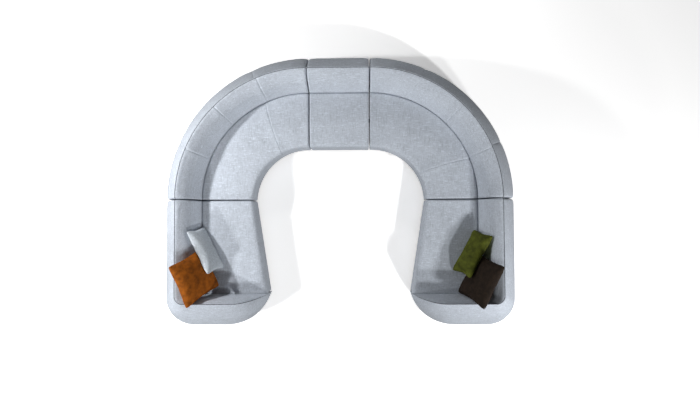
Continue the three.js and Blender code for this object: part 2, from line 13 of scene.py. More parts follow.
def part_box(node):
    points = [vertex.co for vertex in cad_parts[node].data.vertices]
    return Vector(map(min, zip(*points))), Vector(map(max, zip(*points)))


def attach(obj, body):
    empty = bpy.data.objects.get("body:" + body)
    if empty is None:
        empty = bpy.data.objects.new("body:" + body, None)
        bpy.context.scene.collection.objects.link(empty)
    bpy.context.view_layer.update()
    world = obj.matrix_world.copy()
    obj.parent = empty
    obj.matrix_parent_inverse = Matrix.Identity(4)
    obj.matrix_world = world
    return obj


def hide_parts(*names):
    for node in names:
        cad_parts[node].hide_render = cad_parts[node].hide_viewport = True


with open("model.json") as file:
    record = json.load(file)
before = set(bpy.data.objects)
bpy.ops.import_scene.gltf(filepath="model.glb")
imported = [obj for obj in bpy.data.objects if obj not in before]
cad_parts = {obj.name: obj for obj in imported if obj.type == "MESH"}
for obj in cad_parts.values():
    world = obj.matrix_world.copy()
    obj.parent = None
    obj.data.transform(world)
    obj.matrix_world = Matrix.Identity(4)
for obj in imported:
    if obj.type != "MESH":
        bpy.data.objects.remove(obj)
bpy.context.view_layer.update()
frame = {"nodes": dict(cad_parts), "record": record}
scene = bpy.context.scene
scene.view_settings.view_transform = "Standard"

# The gap that touching solids keep, and how high a seat cushion's crown stands as a share of its sides
clearance = 0.0003
cushion_crown_share = 1.05

# Sizes that the frame gives
curve_low, curve_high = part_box("right_curve_seat_cushion")
corner = Vector((curve_low.x, curve_low.y, 0))
seat_back = curve_high.x - corner.x
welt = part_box("right_curve_back_pad")[1].x - corner.x + clearance
outer_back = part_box("right_curve_back_shell")[1].x - corner.x
panel_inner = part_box("centre_back_frame")[0].y - corner.y
runner_height, panel_top = (point.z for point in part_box("centre_back_frame"))
welt_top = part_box("centre_back_shell")[1].z
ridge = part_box("centre_back_pad")[1].z
base_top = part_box("centre_seat_skirt")[1].z
seat_top = base_top + (curve_high.z - base_top) / cushion_crown_share
centre_seat_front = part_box("centre_seat_cushion")[0].y - corner.y
centre_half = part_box("centre_seat_cushion")[1].x
arm_low, arm_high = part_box("right_arm_seat_cushion")
arm_start = corner + Vector((0, arm_high.y - corner.y, 0))
arm_length = arm_start.y - arm_low.y
tip_seat_front = arm_low.x - corner.x
arm_outer = arm_start.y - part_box("right_arm_back_shell")[0].y

# Sizes that hide inside the boxes
side_seat_front = 0.618
panel_thickness = 0.022
arm_pad_depth = 0.040
arm_welt_reach = 0.004
shell_nose_length = 0.475
inner_nose_length = 0.340
face_corner_radius = 0.060
panel_corner_radius = 0.065
welt_corner_radius = 0.085
shell_corner_radius = 0.300
tip_layer = 0.003
panel_outer = panel_inner + panel_thickness
arm_panel_inner = arm_length + arm_pad_depth
arm_panel_outer = arm_panel_inner + panel_thickness
arm_welt = arm_panel_outer + arm_welt_reach
end_rounding = 0.020
end_setback = 0.003
seam_gap = 0.0025

quarter_turn = math.pi / 2
turn_points = 6
tiny = 1e-9


def mix(a, b, share):
    return a + (b - a) * share


# Camera of the photograph: a pinhole high above the open middle, looking almost straight down
photo_width = 700
sensor_width = 36
camera_place = Vector((0.229, -0.3207, 6.4))
camera_turns = (-0.0352, -0.01888, 0.00498)
focal_pixels = 543.73


def add_camera():
    tilt, sway, spin = camera_turns
    to_camera = Matrix.Rotation(sway, 3, "Y") @ Matrix.Rotation(tilt, 3, "X") @ Matrix.Rotation(spin, 3, "Z")
    camera = bpy.data.objects.new("camera", bpy.data.cameras.new("camera"))
    camera.data.sensor_width = sensor_width
    camera.data.lens = camera.data.sensor_width * focal_pixels / photo_width
    camera.matrix_world = Matrix.Translation(camera_place) @ to_camera.transposed().to_4x4()
    scene.collection.objects.link(camera)
    scene.camera = camera


add_camera()


# Lamps: a sun from the front right, and four lamps near the sofa, each given by its place and its watts
sun_place = Vector((13.0, -22.5, 22.0))
sun_strength = 1.2
sun_spread = 3.0
near_lamp_size = 0.12
near_lamps = {
    "left_lamp": ((-3.0, 0.8, 2.4), 300),
    "front_left_lamp": ((-3.0, -2.2, 2.4), 205),
    "front_right_lamp": ((3.0, -2.2, 2.4), 215),
    "back_lamp": ((0.6, 2.9, 1.7), 40),
}


def add_lamps():
    sun = bpy.data.objects.new("front_lamp", bpy.data.lights.new("front_lamp", "SUN"))
    sun.data.energy = sun_strength
    sun.data.angle = math.radians(sun_spread)
    sun.rotation_euler = sun_place.to_track_quat("Z", "Y").to_euler()
    scene.collection.objects.link(sun)
    for name, (place, power) in near_lamps.items():
        lamp = bpy.data.objects.new(name, bpy.data.lights.new(name, "POINT"))
        lamp.data.energy = power
        lamp.data.shadow_soft_size = near_lamp_size
        lamp.location = place
        scene.collection.objects.link(lamp)


add_lamps()

# The world is white to the camera and in reflections, and lights the sofa only a little
world_strength = 0.03
seen_strength = 1.0


def add_world():
    world = bpy.data.worlds.new("studio")
    world.use_nodes = True
    links, nodes = world.node_tree.links, world.node_tree.nodes
    rays = nodes.new("ShaderNodeLightPath")
    seen = nodes.new("ShaderNodeMath")
    seen.operation = "MAXIMUM"
    links.new(rays.outputs["Is Camera Ray"], seen.inputs[0])
    links.new(rays.outputs["Is Glossy Ray"], seen.inputs[1])
    strength = nodes.new("ShaderNodeMapRange")
    strength.inputs["To Min"].default_value = world_strength
    strength.inputs["To Max"].default_value = seen_strength
    links.new(seen.outputs[0], strength.inputs["Value"])
    nodes["Background"].inputs["Color"].default_value = (1, 1, 1, 1)
    links.new(strength.outputs[0], nodes["Background"].inputs["Strength"])
    scene.world = world


add_world()


# Node trees in a few words
class Tree:
    def __init__(self, name):
        self.material = bpy.data.materials.new(name)
        self.material.use_nodes = True
        self.tree = self.material.node_tree
        self.shader = self.tree.nodes["Principled BSDF"]

    def add(self, kind, links=None, **settings):
        node = self.tree.nodes.new(kind)
        for key, value in settings.items():
            setattr(node, key, value)
        for key, value in (links or {}).items():
            self.set(node, key, value)
        return node

    def set(self, node, key, value):
        socket = node.inputs[key]
        if isinstance(value, bpy.types.NodeSocket):
            self.tree.links.new(value, socket)
        else:
            socket.default_value = value

    def surface(self, settings):
        for key, value in settings.items():
            self.set(self.shader, key, value)
        return self.material

    def object_place(self):
        return self.add("ShaderNodeTexCoord").outputs["Object"]

    def stretched(self, vector, scale):
        return self.add("ShaderNodeMapping", {"Vector": vector, "Scale": scale}).outputs[0]

    def math(self, operation, a, b):
        return self.add("ShaderNodeMath", {0: a, 1: b}, operation=operation).outputs[0]

    def noise(self, vector, scale, detail, roughness=0.5):
        links = {"Vector": vector, "Scale": scale, "Detail": detail, "Roughness": roughness}
        return self.add("ShaderNodeTexNoise", links).outputs["Fac"]

    def ramp(self, value, low, high, to_low=0.0, to_high=1.0):
        links = {"Value": value, "From Min": low, "From Max": high, "To Min": to_low, "To Max": to_high}
        return self.add("ShaderNodeMapRange", links).outputs["Result"]

    def blend(self, factor, a, b):
        node = self.add("ShaderNodeMix", data_type="RGBA")
        for key, value in ((0, factor), (6, a), (7, b)):
            self.set(node, key, value)
        return node.outputs[2]

    def tinted(self, tone, mask, low, high, share, color):
        """A tone that turns towards a colour, by a share of it where the mask is high"""
        return self.blend(self.ramp(mask, low, high, to_high=share), tone, color)

    def bump(self, height, strength, distance, normal=None):
        links = {"Height": height, "Strength": strength, "Distance": distance}
        if normal is not None:
            links["Normal"] = normal
        return self.add("ShaderNodeBump", links).outputs["Normal"]


def shade(color, factor):
    return tuple(channel * factor for channel in color) + (1,)


def woven_fabric(name, color):
    """Chunky melange weave with slubs, mottling and soft clouds of tone"""
    t = Tree(name)
    place = t.object_place()
    weave = t.noise(place, scale=420, detail=2, roughness=0.6)
    long_slubs = t.noise(t.stretched(place, (16, 120, 120)), scale=1, detail=3, roughness=0.6)
    cross_slubs = t.noise(t.stretched(place, (120, 16, 120)), scale=1, detail=3, roughness=0.6)
    mottle = t.noise(place, scale=60, detail=3, roughness=0.65)
    clouds = t.noise(place, scale=6, detail=3, roughness=0.55)
    tone = t.blend(t.ramp(weave, low=0.35, high=0.65), shade(color, 0.84), shade(color, 1.14))
    tone = t.tinted(tone, long_slubs, low=0.5, high=0.72, share=0.75, color=shade(color, 1.6))
    tone = t.tinted(tone, cross_slubs, low=0.5, high=0.72, share=0.7, color=shade(color, 0.55))
    tone = t.tinted(tone, mottle, low=0.35, high=0.65, share=0.5, color=shade(color, 0.7))
    tone = t.tinted(tone, clouds, low=0.3, high=0.7, share=0.22, color=shade(color, 1.3))
    height = t.math("ADD", weave, t.math("MULTIPLY", mottle, 0.6))
    rumples = t.bump(t.noise(place, scale=9, detail=2), strength=0.35, distance=0.012)
    return t.surface({
        "Base Color": tone,
        "Roughness": 0.92,
        "Specular IOR Level": 0.2,
        "Sheen Weight": 0.08,
        "Sheen Roughness": 0.5,
        "Normal": t.bump(height, strength=0.55, distance=0.002, normal=rumples),
    })


def velvet(name, color, sheen):
    """Crushed velvet: a dark pile with a bright sheen that catches along the edges"""
    t = Tree(name)
    place = t.object_place()
    crush = t.noise(place, scale=16, detail=4, roughness=0.6)
    pile = t.noise(place, scale=900, detail=1)
    folds = t.bump(t.noise(place, scale=30, detail=3, roughness=0.6), strength=0.5, distance=0.006)
    return t.surface({
        "Base Color": t.blend(t.ramp(crush, low=0.35, high=0.65), shade(color, 0.42), shade(color, 0.95)),
        "Roughness": 0.75,
        "Specular IOR Level": 0.1,
        "Sheen Weight": sheen,
        "Sheen Roughness": 0.35,
        "Sheen Tint": shade(color, 1.6),
        "Normal": t.bump(pile, strength=0.3, distance=0.001, normal=folds),
    })


def wood(name, color, roughness):
    """Long grain with growth bands and pores"""
    t = Tree(name)
    place = t.object_place()
    bands = t.noise(t.stretched(place, (4, 4, 60)), scale=2.5, detail=4, roughness=0.6)
    pores = t.noise(t.stretched(place, (40, 40, 600)), scale=1, detail=2)
    tone = t.blend(t.ramp(bands, low=0.3, high=0.7), shade(color, 0.75), shade(color, 1.2))
    return t.surface({
        "Base Color": t.tinted(tone, pores, low=0.55, high=0.75, share=0.4, color=shade(color, 0.5)),
        "Roughness": roughness,
        "Normal": t.bump(pores, strength=0.2, distance=0.001),
    })


def webbing_cloth(name, color):
    """Rubberised straps with slanted ribs"""
    t = Tree(name)
    waves = {"Vector": t.object_place(), "Scale": 120.0}
    ribs = t.add("ShaderNodeTexWave", waves, bands_direction="DIAGONAL").outputs["Fac"]
    return t.surface({
        "Base Color": t.blend(ribs, shade(color, 0.6), shade(color, 1.5)),
        "Roughness": 0.85,
        "Normal": t.bump(ribs, strength=0.5, distance=0.001),
    })


def steel(name, color):
    """Brushed plate with fine streaks"""
    t = Tree(name)
    streaks = t.noise(t.stretched(t.object_place(), (900, 30, 900)), scale=1, detail=2)
    return t.surface({
        "Base Color": shade(color, 1.6),
        "Metallic": 1.0,
        "Roughness": t.ramp(streaks, low=0.3, high=0.7, to_low=0.28, to_high=0.5),
        "Normal": t.bump(streaks, strength=0.1, distance=0.0005),
    })


colors = {row["slot"]: tuple(row["base_color"][:3]) for row in frame["record"]["materials"]}
finishes = {
    "blue_grey_fabric": woven_fabric("blue_grey_weave", colors["blue_grey_fabric"]),
    "pale_grey_fabric": woven_fabric("pale_grey_weave", colors["pale_grey_fabric"]),
    "orange_velvet": velvet("orange_velvet", colors["orange_velvet"], sheen=0.15),
    "brown_velvet": velvet("brown_velvet", colors["brown_velvet"], sheen=0.03),
    "olive_velvet": velvet("olive_velvet", colors["olive_velvet"], sheen=0.12),
    "elastic_webbing": webbing_cloth("elastic_webbing", colors["elastic_webbing"]),
    "timber": wood("timber", colors["timber"], roughness=0.6),
    "black_wood": wood("black_wood", colors["black_wood"], roughness=0.45),
    "link_steel": steel("link_steel", colors["link_steel"]),
}
# A near-black copy of the cover's weave, for the thin tube that is painted shade in the groove beside the
# piping
painted_shadow_darkness = 0.16
painted_shadow_cloth = woven_fabric("painted_shadow_weave", shade(colors["blue_grey_fabric"], painted_shadow_darkness)[:3])
slot_of = {row["node"]: row["material_slot"] for row in frame["record"]["subparts"]}
for node, thing in frame["nodes"].items():
    thing.data.materials.clear()
    thing.data.materials.append(finishes[slot_of[node]])


# The floor looks white to the camera but for shadows, and throws little light back on the sofa
floor_half = 12.0
floor_shade = 0.35
floor_seen_shade = 1.3
floor_glow = 0.26


def add_floor():
    mesh = bpy.data.meshes.new("floor")
    corners = [(x * floor_half, y * floor_half, 0) for x, y in ((-1, -1), (1, -1), (1, 1), (-1, 1))]
    mesh.from_pydata(corners, [], [(0, 1, 2, 3)])
    floor = bpy.data.objects.new("floor", mesh)
    scene.collection.objects.link(floor)
    t = Tree("floor_paint")
    seen = t.add("ShaderNodeLightPath").outputs["Is Camera Ray"]
    white = (1, 1, 1)
    mesh.materials.append(t.surface({
        "Base Color": t.blend(seen, shade(white, floor_shade), shade(white, floor_seen_shade)),
        "Emission Color": shade(white, 1),
        "Emission Strength": t.math("MULTIPLY", seen, floor_glow),
        "Roughness": 1.0,
        "Specular IOR Level": 0.0,
    }))


add_floor()

# Smooth lines and lattices
smooth_steps = 16


def smooth_line(points, count):
    """Evenly spaced points on a smooth curve through the given ones"""
    points = np.array(points, float)
    ends = [2 * points[0] - points[1], *points, 2 * points[-1] - points[-2]]
    fine = []
    for a, b, c, d in zip(ends, ends[1:], ends[2:], ends[3:]):
        for step in np.linspace(0, 1, smooth_steps, endpoint=False):
            fine.append(0.5 * (
                2 * b + (c - a) * step + (2 * a - 5 * b + 4 * c - d) * step ** 2
                + (3 * b - a - 3 * c + d) * step ** 3
            ))
    fine.append(points[-1])
    return spaced(np.array(fine), count)


def reach_of(line):
    """How far each point of a broken line lies along it"""
    return np.concatenate([[0], np.cumsum(np.linalg.norm(np.diff(line, axis=0), axis=1))])


def spaced(line, count):
    """Evenly spaced points on a broken line"""
    reach = reach_of(line)
    wanted = np.linspace(0, reach[-1], count)
    return np.stack([np.interp(wanted, reach, line[:, axis]) for axis in range(line.shape[1])], 1)


def block_faces(counts):
    """Quads on the six sides of a lattice of points, facing out"""
    index = np.arange(np.prod(counts)).reshape(counts)
    quads = []
    for axis in range(3):
        for end, flip in ((0, axis != 1), (-1, axis == 1)):
            side = np.take(index, end, axis=axis)
            quad = np.stack([side[:-1, :-1], side[:-1, 1:], side[1:, 1:], side[1:, :-1]], -1).reshape(-1, 4)
            quads.append(quad if flip else quad[:, ::-1])
    return np.concatenate(quads)


def mesh_object(name, points, faces, finish):
    mesh = bpy.data.meshes.new(name)
    corners = [list(map(float, point)) for point in points]
    mesh.from_pydata(corners, [], [list(map(int, face)) for face in faces])
    mesh.update()
    mesh.shade_smooth()
    mesh.materials.append(finish)
    thing = bpy.data.objects.new(name, mesh)
    scene.collection.objects.link(thing)
    return thing


def block_object(name, lattice, finish, mirrored, held):
    """A closed body from a lattice of points [along, round the section, inwards]"""
    points = lattice.reshape(-1, 3)
    faces = block_faces(lattice.shape[:3])
    if mirrored:
        points = points * (-1, 1, 1)
        faces = faces[:, ::-1]
    used, places = np.unique(faces, return_inverse=True)
    thing = mesh_object(name, points[used], places.reshape(faces.shape), finish)
    group = thing.vertex_groups.new(name="held")
    for index, share in enumerate(held.ravel()[used]):
        group.add([index], share, "REPLACE")
    return thing


# Places in the modules
curve_length = seat_back * quarter_turn


def centre_place(along, across, up):
    return (along - centre_half, corner.y + across, up)


def curve_place(along, across, up):
    angle = along / seat_back
    return (corner.x + across * math.sin(angle), corner.y + across * math.cos(angle), up)


def arm_place(along, across, up):
    return (arm_start.x + across, arm_start.y - along, up)


# Front and back lines of the seats, given as "across" for each "along"
def centre_front(along):
    return centre_seat_front


def curve_front(along):
    return mix(centre_seat_front, side_seat_front, along / curve_length)


def arm_front(along):
    return mix(side_seat_front, tip_seat_front, along / arm_length)


def plain_back(along):
    return seat_back


def arm_back(along):
    into_corner = max(along - (arm_length - face_corner_radius), 0)
    return seat_back - face_corner_radius + math.sqrt(max(face_corner_radius ** 2 - into_corner ** 2, 0))


# Each kind of module: its length, its places, and its seat's front and back
module_plans = {
    "centre": (2 * centre_half, centre_place, centre_front, plain_back),
    "curve": (curve_length, curve_place, curve_front, plain_back),
    "arm": (arm_length, arm_place, arm_front, arm_back),
}

# Plan line of one layer of the arm's back: along the back, round the corner, along the arm, round the nose.
# The nose is a curve with two pulls, given as shares of the way from its tip to the arm.
nose_stretch = 3
inner_nose_pull_shares = ((0.67, 1), (0.33, 0.62))
shell_nose_pull_shares = ((0.43, 1), (0.07, 0.45))


class ArmLine:
    def __init__(self, across, reach, radius, nose_length, tip_reach, pull_shares):
        self.across, self.reach, self.radius = across, reach, radius
        self.tip = np.array((tip_seat_front + tip_layer, -tip_reach))
        self.nose = np.array((tip_seat_front + nose_length, -reach))
        self.pulls = [
            np.array((mix(self.tip[0], self.nose[0], length), mix(self.tip[1], self.nose[1], depth)))
            for length, depth in pull_shares
        ]

    def point(self, along):
        stretch = min(int(along), nose_stretch)
        share = along - stretch
        if stretch == 0:
            return np.array((self.across, mix(0, self.radius - self.reach, share)))
        if stretch == 1:
            angle = share * quarter_turn
            centre = np.array((self.across - self.radius, self.radius - self.reach))
            return centre + self.radius * np.array((math.cos(angle), -math.sin(angle)))
        if stretch == 2:
            return np.array((mix(self.across - self.radius, self.nose[0], share), -self.reach))
        first, second = self.pulls
        rest = 1 - share
        return (
            rest ** 3 * self.nose + 3 * rest ** 2 * share * first
            + 3 * rest * share ** 2 * second + share ** 3 * self.tip
        )


arm_lines = [
    ArmLine(across, reach, radius, inner_nose_length, arm_length + layer * tip_layer, inner_nose_pull_shares)
    for layer, (across, reach, radius) in enumerate((
        (seat_back, arm_length, face_corner_radius),
        (panel_inner, arm_panel_inner, panel_corner_radius),
        (panel_outer, arm_panel_outer, panel_corner_radius + panel_thickness),
        (welt, arm_welt, welt_corner_radius),
    ))
]
arm_lines.append(ArmLine(
    outer_back, arm_outer, shell_corner_radius, shell_nose_length,
    arm_length + (len(arm_lines) + 1) * tip_layer, shell_nose_pull_shares,
))

# What is left at the nose's tip of the back's rise above the seat
tip_rise_share = 0.04


def arm_back_place(along, across, up):
    """Place in the arm's back, where "along" counts the line's four stretches"""
    beyond = (index for index, line in enumerate(arm_lines) if line.across >= across - tiny)
    far = max(next(beyond, len(arm_lines) - 1), 1)
    near_line, far_line = arm_lines[far - 1], arm_lines[far]
    between = (across - near_line.across) / (far_line.across - near_line.across)
    x, y = mix(near_line.point(along), far_line.point(along), between)
    fall = (1 - tip_rise_share) * max(along - nose_stretch, 0) ** 2
    return (arm_start.x + x, arm_start.y + y, mix(up, seat_top, fall) if up > seat_top else up)


# Stations along a module as (along, give), where the padding draws in by "give". A seam's shape holds
# distances from the seam with shares of its depth, and other stations keep out of its room.
step_length = 0.025
seam_depth = 0.005
seam_shape = ((0.016, 0), (0.008, 0.25), (0.004, 0.65), (0, 1))
seam_room_share = 1.3


def ease_in(length, start, end):
    """Stations that round a module's ends"""
    turns = np.linspace(0, quarter_turn, turn_points)[:-1]
    opening = [
        (end_setback + end_rounding * (1 - math.cos(turn)), end_rounding * (1 - math.sin(turn)))
        for turn in turns
    ]
    first = end_setback + end_rounding if start else 0
    last = length - (end_setback + end_rounding if end else 0)
    middle = [(along, 0) for along in np.linspace(first, last, round((last - first) / step_length) + 1)]
    closing = [(length - along, give) for along, give in reversed(opening)]
    return [*(opening if start else []), *middle, *(closing if end else [])]


def with_seams(stations, seams):
    """Stations with a narrow groove where each seam is sewn"""
    room = seam_room_share * seam_shape[0][0]
    rows = {along: give for along, give in stations if all(abs(along - seam) > room for seam in seams)}
    for seam in seams:
        for distance, share in seam_shape:
            rows[seam - distance] = rows[seam + distance] = seam_depth * share
    return sorted(rows.items())


# Steps round the corner of an arm module's seat, and round the corner, the arm and the nose of its back
arm_corner_steps = 8
arm_stretch_steps = (22, 20, 34)
arm_straight_length = arm_length - face_corner_radius
centre_stations = ease_in(2 * centre_half, start=True, end=True)
curve_stations = ease_in(curve_length, start=True, end=True)
arm_straight_stations = ease_in(arm_straight_length, start=True, end=False)
arm_seat_stations = arm_straight_stations + [
    (arm_length - face_corner_radius * (1 - math.sin(share * quarter_turn)), 0)
    for share in np.linspace(0, 1, arm_corner_steps + 1)[1:]
]
arm_back_stations = [
    (along / arm_straight_length, give) for along, give in arm_straight_stations
] + [
    (stretch + share, 0)
    for stretch, steps in enumerate(arm_stretch_steps, 1)
    for share in np.linspace(0, 1, steps + 1)[1:]
]

# Seams as shares of the curve. The seat has one, and it runs slanted: its place at the seat's front and
# at its back is given for the right-hand and the left-hand corner.
pad_seam_shares = (0.25, 0.5, 0.75)
shell_seam_shares = (0.26, 0.74)
seat_seam_shares = {"right": (0.69, 0.755), "left": (0.335, 0.265)}

# Section outlines as shares, front to back or welt outwards, and bottom to top. A third share says how far
# a point draws in with the padding, and is 1 where it is left out.
cushion_shares = (
    (0.045, 0, 0.3), (0.012, 0.1), (0, 0.32), (0, 0.62), (0.016, 0.84), (0.05, 0.94), (0.13, 0.99),
    (0.33, 1.03), (0.55, 1.05), (0.8, 1.03), (1, 1),
)
pad_shares = (
    (0, 0, 0.2), (0.025, 0.125), (0.1, 0.28), (0.2, 0.436), (0.33, 0.607), (0.48, 0.748), (0.66, 0.872),
    (0.84, 0.96), (0.95, 0.99), (1, 0.98, 0.4),
)
shell_shares = (
    (0.517, 0, 0.3), (0.71, 0.023), (0.872, 0.093), (0.967, 0.185), (1, 0.293), (0.963, 0.4), (0.876, 0.525),
    (0.742, 0.648), (0.562, 0.772), (0.371, 0.864), (0.18, 0.941), (0.062, 0.985), (0.02, 1, 0.4),
)

# Points round each section, and how much less their softness counts than their place where they are spaced
section_points = {"seat_cushion": 34, "back_pad": 24, "back_shell": 34}
softness_scale = 10

# How far the inner line lies behind a cushion's front, and inside the welt at a shell's top
cushion_front_depth = 0.04
shell_top_depth = 0.004
layers_inwards = 4


def section(part, shares, across_ends, up_ends, inner_line):
    """Outer line with its softness, and the inner line behind it, as points [across, up]"""
    rows = [(row[0], row[1], row[2] if len(row) > 2 else 1) for row in shares]
    points = [
        (mix(*across_ends, out), mix(*up_ends, rise), soft / softness_scale) for out, rise, soft in rows
    ]
    line = smooth_line(points, section_points[part])
    inner = spaced(np.array(inner_line, float), section_points[part])
    return line[:, :2], line[:, 2] * softness_scale, inner


def normals_of(line):
    slope = np.gradient(line, axis=0)
    normal = np.stack([slope[:, 1], -slope[:, 0]], 1)
    return normal / np.linalg.norm(normal, axis=1)[:, None]


def lattice(outer, soft, inner, stations, place):
    """Points [along, round the section, inwards], where the outer line draws in at ends and seams"""
    inward = normals_of(outer)
    inward *= np.sign(np.sum(inward * (inner - outer)))
    shares = np.linspace(0, 1, layers_inwards)
    rows = []
    for along, give in stations:
        drawn = outer + inward * (give * soft)[:, None]
        grid = drawn[:, None, :] + (inner - drawn)[:, None, :] * shares[None, :, None]
        rows.append([[place(along, across, up) for across, up in line] for line in grid])
    return np.array(rows)


def cushion_section():
    low = base_top + clearance
    inner = ((centre_seat_front + cushion_front_depth, low), (seat_back, low))
    return section("seat_cushion", cushion_shares, (centre_seat_front, seat_back), (low, seat_top), inner)


def pad_section():
    front, low = seat_back + clearance, base_top + clearance
    behind, far = panel_inner - clearance, welt - clearance
    inner = ((front, low), (behind, low), (behind, panel_top + seam_gap), (far, welt_top + seam_gap))
    return section("back_pad", pad_shares, (front, far), (seat_top, ridge), inner)


def shell_section():
    front = panel_outer + clearance
    inner = ((front, runner_height), (front, panel_top), (welt - shell_top_depth, welt_top))
    return section("back_shell", shell_shares, (welt, outer_back), (runner_height, welt_top), inner)


sections = {"seat_cushion": cushion_section(), "back_pad": pad_section(), "back_shell": shell_section()}

# How firmly the points of a piece are held while its padding swells: 1 at hidden points, ends and seams
hold_reach = 0.05


def held_shares(points, gives):
    along = reach_of(points[:, points.shape[1] // 2, 0])
    across = reach_of(points[0, :, 0])
    fixed = along[np.unique([0, len(along) - 1, *np.flatnonzero(gives)])]
    free_along = np.clip(np.abs(along[:, None] - fixed).min(1) / hold_reach, 0, 1)
    free_across = np.clip(np.minimum(across, across[-1] - across) / hold_reach, 0, 1)
    held = np.ones(points.shape[:3])
    held[:, :, 0] = 1 - np.outer(free_along, free_across)
    return held


def seat_place(kind, shift_of=lambda along, share: 0):
    """Place in a module's seat, whose section is the centre's, drawn out to the module's own depth"""
    _, module_place, front_of, back_of = module_plans[kind]
    depth = seat_back - centre_seat_front

    def place(along, across, up):
        share = (across - centre_seat_front) / depth
        return module_place(along + shift_of(along, share), mix(front_of(along), back_of(along), share), up)

    return place


def seam_slant(seam_ends):
    """How far a place in the seat shifts along, so that its seam runs slanted and its ends stay square"""
    middle = sum(seam_ends) / 2 * curve_length
    slant = (seam_ends[1] - seam_ends[0]) * curve_length

    def shift_of(along, share):
        nearness = min(along / middle, (curve_length - along) / (curve_length - middle))
        return slant * (share - 0.5) * max(nearness, 0)

    return shift_of


def stretches_of(kind, hand):
    """Stations and place of a module's seat, pad and shell"""
    if kind == "centre":
        back = (centre_stations, centre_place)
        return {"seat_cushion": (centre_stations, seat_place(kind)), "back_pad": back, "back_shell": back}
    if kind == "arm":
        back = (arm_back_stations, arm_back_place)
        return {"seat_cushion": (arm_seat_stations, seat_place(kind)), "back_pad": back, "back_shell": back}
    seam_ends = seat_seam_shares[hand]

    def sewn(shares):
        return with_seams(curve_stations, [share * curve_length for share in shares])

    return {
        "seat_cushion": (sewn([sum(seam_ends) / 2]), seat_place(kind, seam_slant(seam_ends))),
        "back_pad": (sewn(pad_seam_shares), curve_place),
        "back_shell": (sewn(shell_seam_shares), curve_place),
    }


# The padded skirt round a module's base. Its profile is given as shares of its thickness and its height.
skirt_setback = 0.008
skirt_thickness = 0.026
skirt_corner = 0.018
least_skirt_corner = 0.002
skirt_swell = 0.002
skirt_side_points = 30
skirt_profile_points = 12
skirt_layers = 3
skirt_shares = ((0.25, 0), (0.06, 0.03), (0, 0.12), (-0.04, 0.5), (0, 0.88), (0.06, 0.97), (0.25, 1))


def skirt_path(kind, inset):
    """Plan line round a module's base in along and across: back, start side, front, far side"""
    length, _, front_of, _ = module_plans[kind]
    radius = max(skirt_corner - inset, least_skirt_corner)
    back = panel_inner - 2 * clearance
    far = length - inset
    edge = skirt_setback + inset
    turns = np.linspace(0, quarter_turn, turn_points)
    start_turn = [(inset + radius * (1 - math.cos(t)), radius * (1 - math.sin(t))) for t in turns]
    side_shares = np.linspace(0, 1, skirt_side_points)
    path = [(inset, mix(back, front_of(0) + edge + radius, share)) for share in side_shares[:-1]]
    path += [(along, front_of(along) + edge + lift) for along, lift in start_turn]
    last = length if kind == "arm" else far - radius
    count = round(length / step_length)
    path += [
        (along, front_of(along) + edge)
        for along in np.linspace(inset + radius, last, count)[1:None if kind == "arm" else -1]
    ]
    if kind != "arm":
        far_turn = [(length - along, lift) for along, lift in reversed(start_turn)]
        path += [(along, front_of(along) + edge + lift) for along, lift in far_turn]
        path += [(far, mix(front_of(far) + edge + radius, back, share)) for share in side_shares[1:]]
    return path


def skirt_lattice(kind):
    place = module_plans[kind][1]
    profile = smooth_line(skirt_shares, skirt_profile_points)
    layers = []
    for depth_share in np.linspace(0, 1, skirt_layers):
        wall = []
        for out, rise in profile:
            inset = max(skirt_thickness * mix(out, 1, depth_share), -skirt_swell)
            up = mix(runner_height, base_top, rise)
            wall.append([place(along, across, up) for along, across in skirt_path(kind, inset)])
        layers.append(wall)
    return np.transpose(np.array(layers), (2, 1, 0, 3))


def tube_object(name, line, radius, sides, finish):
    """A closed tube along a line of points"""
    line = np.array(line)
    heading = np.gradient(line, axis=0)
    heading /= np.linalg.norm(heading, axis=1)[:, None]
    side = np.cross(heading, (0, 0, 1))
    side /= np.linalg.norm(side, axis=1)[:, None]
    over = np.cross(side, heading)
    angles = np.linspace(0, 2 * math.pi, sides, endpoint=False)[:, None]
    rings = line[:, None] + radius * (side[:, None] * np.cos(angles) + over[:, None] * np.sin(angles))
    points = [*rings.reshape(-1, 3), line[0], line[-1]]
    start_point, end_point = len(points) - 2, len(points) - 1
    end = (len(line) - 1) * sides
    neighbours = [(j, (j + 1) % sides) for j in range(sides)]
    faces = [
        (row + j, row + sides + j, row + sides + k, row + k)
        for row in range(0, end, sides)
        for j, k in neighbours
    ]
    for j, k in neighbours:
        faces.append((j, k, start_point))
        faces.append((end + k, end + j, end_point))
    return mesh_object(name, points, faces, finish)


# Covers, with how far the stuffing may push each of them out
cover_caps = {"seat_skirt": 0.002, "seat_cushion": 0.006, "back_pad": 0.006, "back_shell": 0.004}
padded_pieces = []


def add_soft(name, body, part, points, gives, hand):
    held = held_shares(points, gives)
    cover = block_object(name, points, finishes["blue_grey_fabric"], hand == "left", held)
    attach(cover, body)
    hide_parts(f"{body}_{part}")
    padded_pieces.append((cover, cover_caps[part]))


# The piping is a cord in a sleeve of the cover's fabric, along the outer side of the seam at the welt. A thin
# near-black tube runs along the inner side, and it is painted shade for the groove next to the cord.
piping_radius = 0.0045
piping_offset = 0.0035
piping_drop = 0.0075
groove_shadow_drop = 0.0055
groove_shadow_radius_share = 0.8
piping_give_share = 0.6
piping_sides = 8


def add_piping(body, hand, stations, place):
    mirror = np.array((-1 if hand == "left" else 1, 1, 1))
    shadow_tube_radius = piping_radius * groove_shadow_radius_share
    lines = {
        "piping": (piping_offset, piping_drop, piping_radius, finishes["blue_grey_fabric"]),
        # The second tube is painted shade: dark cloth laid where the groove beside the cord falls in shadow
        "painted_groove_shadow": (-piping_offset, groove_shadow_drop, shadow_tube_radius, painted_shadow_cloth),
    }
    for part, (offset, drop, radius, cloth) in lines.items():
        line = [
            place(along, welt + offset, ridge - drop - give * piping_give_share) for along, give in stations
        ]
        cord = tube_object(f"{body}_{part}", np.array(line) * mirror, radius, piping_sides, cloth)
        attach(cord, body)


